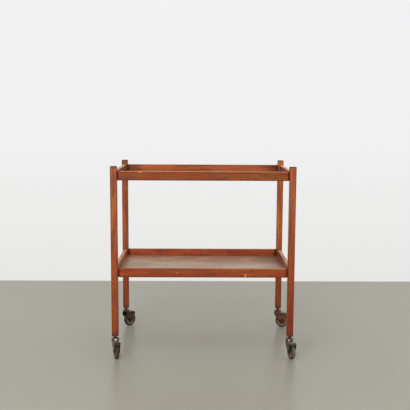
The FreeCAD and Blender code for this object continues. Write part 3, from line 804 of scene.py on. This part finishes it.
dulled = calc(tree, "MULTIPLY_ADD", calc(tree, "SUBTRACT", speck, 0.5), SPECK_DULLS, dulled)
tree.links.new(dulled, give["Roughness"])
tree.links.new(calc(tree, "MULTIPLY_ADD", rust, RUST_RISE, speck), give["Height"])

STEEL_PITS_DEPTH = 0.00005


def steel(name, settings, plain=None):
    """A material of old steel, its tree, surface and coordinates, and the group's outputs. Its colour
    isn't joined yet, because more may lie over it."""
    made, tree, face, coordinates = surface(name, plain)
    old = put(tree, "ShaderNodeGroup", {"Vector": coordinates["Object"], **settings}, node_tree=old_steel)
    for label in ("Metallic", "Roughness"):
        tree.links.new(old.outputs[label], face.inputs[label])
    bump(tree, face, old.outputs["Height"], STEEL_PITS_DEPTH)
    return made, tree, face, coordinates, old.outputs


def plain_steel(name, settings):
    """A material of old steel and nothing more."""
    made, tree, face, _, old = steel(name, settings)
    tree.links.new(old["Color"], face.inputs["Base Color"])
    return made


PIN_STEEL = {
    "Metal": colour(140, 132, 120), "Lacquer": colour(96, 88, 78), "Rust": colour(92, 54, 34),
    "Lacquer Share": 0.4, "Rust Share": 0.25, "Roughness": 0.38,
}
pin_steel = plain_steel("pin_steel", PIN_STEEL)
pins = bpy.data.objects.new("panel_pins", bpy.data.meshes.new("panel_pins"))
bpy.context.scene.collection.objects.link(pins)
rows = pins.modifiers.new("rows", "NODES")
rows.node_group = pin_rows
for label, (kind, value) in PIN_INPUTS.items():
    rows[socket_named(pin_rows, label)] = pin_steel if kind == "Material" else value
bpy.context.view_layer.update()
pins.data = bpy.data.meshes.new_from_object(pins.evaluated_get(bpy.context.evaluated_depsgraph_get()))
pins.modifiers.clear()
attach(pins, "frame")


# ---- Castor mountings -------------------------------------------------------------------------------
# Each leg's foot holds a zinc-plated pressed socket. The king pin that snaps into it carries the round
# upper cap of the ball race, and a thrust washer is riveted on under the crown.

CORNERS = ("front_left", "front_right", "rear_left", "rear_right")
SOCKET_STEEL = {
    "Metal": colour(128, 118, 104), "Lacquer": colour(92, 78, 64), "Rust": colour(88, 50, 32),
    "Lacquer Share": 0.5, "Rust Share": 0.3, "Roughness": 0.40,
}
STEM_STEEL = {
    "Metal": colour(112, 86, 66), "Lacquer": colour(88, 52, 38), "Rust": colour(98, 50, 32),
    "Lacquer Share": 0.6, "Rust Share": 0.45, "Roughness": 0.38,
}
CAP_STEEL = {
    "Metal": colour(126, 98, 74), "Lacquer": colour(86, 60, 43), "Rust": colour(92, 50, 32),
    "Lacquer Share": 0.7, "Rust Share": 0.2, "Roughness": 0.34, "Lacquer Metallic": 0.3,
}
# The front castors' caps carry a painted highlight in one place, on the front. It is listed as a rail's
# marks are.
CAP_PAINTED_HIGHLIGHT = colour(255, 234, 214)
CAP_PAINTED_HIGHLIGHTS = {
    "front_left": [((-0.2965, -0.1927, 0.0650), (0.0060, 0.0060, 0.0036), 0.6, CAP_PAINTED_HIGHLIGHT, 1.0)],
    "front_right": [((0.2953, -0.1927, 0.0640), (0.0046, 0.0060, 0.0030), 0.6, CAP_PAINTED_HIGHLIGHT, 1.0)],
}
WASHER_STEEL = {
    "Metal": colour(120, 114, 104), "Lacquer": colour(70, 62, 54), "Rust": colour(84, 48, 32),
    "Lacquer Share": 0.5, "Rust Share": 0.3, "Roughness": 0.36,
}
for part, settings in (("socket", SOCKET_STEEL), ("stem", STEM_STEEL), ("washer", WASHER_STEEL)):
    finish = plain_steel("steel_" + part, settings)
    for corner in CORNERS:
        dress(corner + "_castor_" + part, finish)

for corner in CORNERS:
    cap, tree, face, coordinates, old = steel("steel_cap_" + corner, CAP_STEEL)
    # A painted highlight on the front caps.
    tone = add_marks(tree, coordinates["Object"], old["Color"], CAP_PAINTED_HIGHLIGHTS.get(corner, []))
    tree.links.new(tone, face.inputs["Base Color"])
    dress(corner + "_castor_race_cap", cap)


# ---- Castor balls -----------------------------------------------------------------------------------
# Fourteen hardened steel balls lie loose in the race of each castor, between the cap on the king pin
# and the horn's crown. They are still bright under old grease.

BALL_STEEL = {
    "Metal": colour(196, 194, 188), "Lacquer": colour(134, 116, 84), "Rust": colour(96, 60, 40),
    "Lacquer Share": 0.35, "Rust Share": 0.05, "Roughness": 0.14,
}
ball_finish = plain_steel("steel_balls", BALL_STEEL)
for corner in CORNERS:
    dress(corner + "_castor_balls", ball_finish)


# ---- Castor horns -----------------------------------------------------------------------------------
# The horn is one steel pressing: a crown under the race, a hood over the wheel and a cheek on each
# side. Its brown-bronze lacquer is glossy, with a painted highlight on top. It is painted near-black and
# matt where the sheet steps in and along the cheeks' lower edges, as painted shade, and also round the
# axle and in patches at the nose and one heel.

# For each horn, its lacquer, how dark its nose and its heel are painted, and the dust on its cheeks and
# how much of it there is.
HORN_FINISH = {
    "front_left": (colour(58, 49, 38), 0.2, 0.4, colour(92, 80, 66), 0.5),
    "front_right": (colour(72, 58, 44), 0.2, 1.0, colour(92, 80, 66), 0.6),
    "rear_left": (colour(76, 51, 32), 0.9, 0.0, colour(92, 80, 66), 0.5),
    "rear_right": (colour(104, 64, 44), 0.1, 0.0, colour(140, 70, 50), 0.9),
}
HORN_STEEL = {
    "Metal": colour(116, 94, 72), "Rust": colour(104, 58, 38),
    "Lacquer Share": 0.85, "Rust Share": 0.15, "Roughness": 0.36, "Lacquer Metallic": 0.25,
}
HORN_COAT = 0.45
HORN_GLOSS = {"Specular IOR Level": 0.32, "Coat Roughness": 0.15}
# A painted highlight on the top faces.
HORN_PAINTED_HIGHLIGHT = colour(190, 176, 152)
# Dust settles below a height, thinly all over and more in blotches.
HORN_DUST_TOP, HORN_DUST_FULL = 0.046, 0.024
HORN_DUST_THIN = 0.2
# Near-black and matt: painted shade at the sheet's step and along each cheek's lower edge, and dark round
# the axle pad and in patches at nose and heel.
HORN_SHADE_AND_GRIME = colour(14, 11, 9)
HORN_SHADE_AND_GRIME_SHARE = 0.85
JOGGLE_AT, JOGGLE_HALF = 0.0523, 0.0020
CHEEK_PAD_RADIUS = 0.0062
PAD_DIRT_REACH = 0.0022
# The cheek's lower edge from nose to axle, along which painted shadow lies: the way from it into the
# cheek, and how far it passes below the axle.
CHEEK_EDGE_INWARD = (0.744, 0.0, 0.667)
CHEEK_EDGE_FROM_AXLE = 0.0075
EDGE_SHADOW_REACH = 0.0048
# Near-black patches at the nose and at the heel, as places along the wheel. At the heel the patch is on
# one cheek only, and below the hood.
NOSE_DARK = (-0.0225, -0.0265)
HEEL_DARK = (-0.0020, 0.0015)
CHEEK_DARK_SIDE = (-0.0070, -0.0090)
BELOW_HOOD = (0.058, 0.052)

joints = {joint["name"]: joint for joint in frame["joints"]}


def on_axle(tree, coordinates, corner):
    """Turns a castor's coordinates into its wheel's, with their Y axis along the axle, and gives the
    radius from the axle and the coordinates themselves."""
    roll = joints[corner + "_roll"]
    away = vector_calc(tree, "SUBTRACT", coordinates, tuple(roll["pos_m"]))
    trail = math.atan2(-roll["axis"][0], roll["axis"][1])
    turned = put(tree, "Mapping", {"Vector": away, "Rotation": (0.0, 0.0, -trail)}).outputs[0]
    parts = put(tree, "SeparateXYZ", {0: turned}).outputs
    radius = calc(tree, "SQRT", calc(
        tree, "ADD", calc(tree, "MULTIPLY", parts[0], parts[0]), calc(tree, "MULTIPLY", parts[2], parts[2]),
    ))
    return radius, turned


for corner, (lacquer, nose_dark, heel_dark, dust, dust_share) in HORN_FINISH.items():
    settings = {"Lacquer": lacquer, **HORN_STEEL}
    bronze, tree, face, coordinates, old = steel("bronze_" + corner, settings, HORN_GLOSS)
    radius, turned = on_axle(tree, coordinates["Object"], corner)
    height = z_of(tree, coordinates["Object"])
    blotches = cloud(tree, coordinates["Object"], (260, 260, 260), detail=3.0, shift=23.0)
    on_top = ramp(tree, z_of(tree, coordinates["Normal"]), 0.86, 0.97)
    # Top faces painted lighter: a painted highlight.
    rub_and_highlight = calc(tree, "MULTIPLY", on_top, ramp(tree, blotches, 0.36, 0.60, 0.1, 0.7))
    tone = blend(tree, rub_and_highlight, old["Color"], HORN_PAINTED_HIGHLIGHT)
    low_down = ramp(tree, height, HORN_DUST_TOP, HORN_DUST_FULL)
    dusty = ramp(tree, blotches, 0.42, 0.64, HORN_DUST_THIN * dust_share, dust_share)
    tone = blend(tree, calc(tree, "MULTIPLY", low_down, dusty), tone, dust)

    # Painted shade under the step and along the cheek's lower edge, a dark ring round the pad, and dark
    # patches at nose and heel.
    joggle_shade = band(tree, height, JOGGLE_AT, JOGGLE_HALF)
    ring = band(tree, radius, CHEEK_PAD_RADIUS, PAD_DIRT_REACH)
    inward = put(tree, "VectorMath", {0: turned, 1: CHEEK_EDGE_INWARD}, operation="DOT_PRODUCT")
    edge_shadow = ramp(
        tree, inward.outputs["Value"], EDGE_SHADOW_REACH - CHEEK_EDGE_FROM_AXLE, -CHEEK_EDGE_FROM_AXLE,
    )
    shade_and_grime = calc(tree, "MAXIMUM", edge_shadow, calc(tree, "MAXIMUM", joggle_shade, ring))
    shade_and_grime = calc(tree, "MULTIPLY", shade_and_grime, HORN_SHADE_AND_GRIME_SHARE)
    travel, sideways, _ = put(tree, "SeparateXYZ", {0: turned}).outputs
    on_nose = ramp(tree, travel, *NOSE_DARK, 0.0, nose_dark)
    on_heel = ramp(tree, travel, *HEEL_DARK, 0.0, heel_dark)
    on_heel = calc(tree, "MULTIPLY", on_heel, ramp(tree, sideways, *CHEEK_DARK_SIDE))
    on_heel = calc(tree, "MULTIPLY", on_heel, ramp(tree, height, *BELOW_HOOD))
    shade_and_grime = calc(tree, "MAXIMUM", shade_and_grime, calc(tree, "MAXIMUM", on_nose, on_heel))
    tone = blend(tree, shade_and_grime, tone, HORN_SHADE_AND_GRIME)
    tree.links.new(tone, face.inputs["Base Color"])
    tree.links.new(calc(tree, "MAXIMUM", old["Metallic"], shade_and_grime), face.inputs["Metallic"])
    tree.links.new(calc(tree, "MULTIPLY_ADD", shade_and_grime, -HORN_COAT, HORN_COAT), face.inputs["Coat Weight"])
    dress(corner + "_castor_horn", bronze)


# ---- Castor axles and bushes ------------------------------------------------------------------------
# A steel rivet with domed heads runs through both cheeks and the bush that the wheel turns on. Its
# heads are worn bright in the middle and ringed with black grease.

AXLE_STEEL = {
    "Metal": colour(132, 112, 90), "Lacquer": colour(84, 68, 52), "Rust": colour(84, 50, 34),
    "Lacquer Share": 0.5, "Rust Share": 0.2, "Roughness": 0.30,
}
BUSH_STEEL = {
    "Metal": colour(124, 118, 108), "Lacquer": colour(60, 52, 44), "Rust": colour(70, 44, 32),
    "Lacquer Share": 0.6, "Rust Share": 0.15, "Roughness": 0.28,
}
AXLE_HEAD_RADIUS = 0.0042
AXLE_BRIGHT_RADIUS = 0.7 * AXLE_HEAD_RADIUS
GREASE = colour(24, 20, 17)
GREASE_SHARE = 0.85
bush_finish = plain_steel("steel_bush", BUSH_STEEL)
for corner in CORNERS:
    rivet, tree, face, coordinates, old = steel("rivet_" + corner, AXLE_STEEL)
    radius, _ = on_axle(tree, coordinates["Object"], corner)
    greasy = ramp(tree, radius, AXLE_BRIGHT_RADIUS, AXLE_HEAD_RADIUS)
    tone = tint(tree, greasy, GREASE_SHARE, old["Color"], GREASE)
    tree.links.new(tone, face.inputs["Base Color"])
    dress(corner + "_castor_axle", rivet)
    dress(corner + "_castor_bush", bush_finish)


# ---- Wheel centres ----------------------------------------------------------------------------------
# Each wheel has a centre moulded in reddish-brown phenolic plastic: hub, thin web and a channelled rim.
# Its web still has faint turning rings, with dust lying in the corners and the rim chafed pale.

WHEEL_BROWN = {
    "front_left": colour(116, 98, 80),
    "front_right": colour(118, 96, 76),
    "rear_left": colour(92, 74, 58),
    "rear_right": colour(130, 72, 54),
}
WHEEL_DARK = colour(44, 33, 28)
# Dust lies in the web's corners, at the hub and inside the rim.
WHEEL_DUST = colour(142, 122, 104)
HUB_RADIUS, HUB_DUST_HALF = 0.0064, 0.0028
RIM_INNER, RIM_DUST_HALF = 0.0161, 0.0030
RIM_EDGE, RIM_CHAFED_HALF = 0.0190, 0.0016
TYRE_SEAM_FROM, TYRE_SEAM_FULL = 0.0198, 0.0204
TYRE_SEAM_SHARE = 0.9
TURNING_GAP = 0.0011
TURNING_SHARE = 0.25
TURNING_DEPTH = 0.00006
WHEEL_ROUGHNESS, WHEEL_UNEVEN, WHEEL_DUST_DULLS = 0.34, 0.16, 0.3

for corner, brown in WHEEL_BROWN.items():
    phenolic, tree, face, coordinates = surface("phenolic_" + corner)
    radius, turned = on_axle(tree, coordinates["Object"], corner)
    cloudy = cloud(tree, turned, (150, 150, 150), detail=4.0, rough=0.6, shift=2.0)
    fine = cloud(tree, turned, (900, 900, 900), detail=2.0, shift=8.0)
    tone = blend(tree, ramp(tree, cloudy, 0.35, 0.7), brown, WHEEL_DARK)
    web_corners = calc(
        tree, "MAXIMUM",
        band(tree, radius, HUB_RADIUS, HUB_DUST_HALF), band(tree, radius, RIM_INNER, RIM_DUST_HALF),
    )
    dusty = calc(tree, "MULTIPLY", web_corners, ramp(tree, cloudy, 0.3, 0.6, 0.35, 0.9))
    tone = blend(tree, dusty, tone, WHEEL_DUST)
    rim_edge = band(tree, radius, RIM_EDGE, RIM_CHAFED_HALF)
    chafed = calc(tree, "MULTIPLY", rim_edge, ramp(tree, fine, 0.35, 0.65, 0.2, 0.8))
    tone = blend(tree, chafed, tone, WHEEL_DUST)
    seam = ramp(tree, radius, TYRE_SEAM_FROM, TYRE_SEAM_FULL)
    tone = tint(tree, seam, TYRE_SEAM_SHARE, tone, WHEEL_DARK)
    tree.links.new(tone, face.inputs["Base Color"])
    rough = calc(tree, "MULTIPLY_ADD", fine, WHEEL_UNEVEN, WHEEL_ROUGHNESS)
    rough = calc(tree, "MULTIPLY_ADD", dusty, WHEEL_DUST_DULLS, rough)
    tree.links.new(rough, face.inputs["Roughness"])
    turning = calc(tree, "SINE", calc(tree, "MULTIPLY", radius, 2 * math.pi / TURNING_GAP))
    bump(tree, face, calc(tree, "MULTIPLY_ADD", turning, TURNING_SHARE, fine), TURNING_DEPTH)
    dress(corner + "_castor_wheel", phenolic)


# ---- Tyres ------------------------------------------------------------------------------------------
# A solid black rubber tyre is moulded into the channel of each wheel. The tread has picked up floor dust
# and fine cross scuffs, and the sidewalls have faded to a brownish black.

TYRE_BLACK = colour(21, 18, 16)
TYRE_FADED = colour(44, 36, 29)
TYRE_DUST = colour(110, 98, 84)
# How much dust lies in the hollows and on the heights of each tread.
TREAD_DUST = {
    "front_left": (0.05, 0.6),
    "front_right": (0.75, 1.0),
    "rear_left": (0.05, 0.6),
    "rear_right": (0.05, 0.6),
}
TREAD_FROM, TREAD_FULL = 0.0240, 0.0252
SPECK_SHARE = 0.25
RUBBER_DULL = {"Specular IOR Level": 0.28}
TYRE_ROUGHNESS, GRIT_DULLS, TYRE_DUST_DULLS = 0.46, 0.2, 0.22
SCUFF_SHARE = 0.6
SCUFF_DEPTH = 0.00008

for corner in CORNERS:
    rubber, tree, face, coordinates = surface("rubber_" + corner, RUBBER_DULL)
    radius, turned = on_axle(tree, coordinates["Object"], corner)
    blotches = cloud(tree, turned, (120, 120, 120), detail=4.0, rough=0.6, shift=5.0)
    grit = cloud(tree, turned, (1100, 1100, 1100), detail=3.0, shift=11.0)
    scuffs = cloud(tree, turned, (700, 90, 700), detail=3.0, shift=19.0)
    tone = blend(tree, ramp(tree, blotches, 0.35, 0.65), TYRE_BLACK, TYRE_FADED)
    tread = ramp(tree, radius, TREAD_FROM, TREAD_FULL)
    dusty = calc(tree, "MULTIPLY", tread, ramp(tree, scuffs, 0.42, 0.68, *TREAD_DUST[corner]))
    tone = blend(tree, dusty, tone, TYRE_DUST)
    tone = tint(tree, ramp(tree, grit, 0.60, 0.72), SPECK_SHARE, tone, TYRE_DUST)
    tree.links.new(tone, face.inputs["Base Color"])
    rough = calc(tree, "MULTIPLY_ADD", grit, GRIT_DULLS, TYRE_ROUGHNESS)
    rough = calc(tree, "MULTIPLY_ADD", dusty, TYRE_DUST_DULLS, rough)
    tree.links.new(rough, face.inputs["Roughness"])
    bump(tree, face, calc(tree, "MULTIPLY_ADD", scuffs, SCUFF_SHARE, grit), SCUFF_DEPTH)
    dress(corner + "_castor_tyre", rubber)
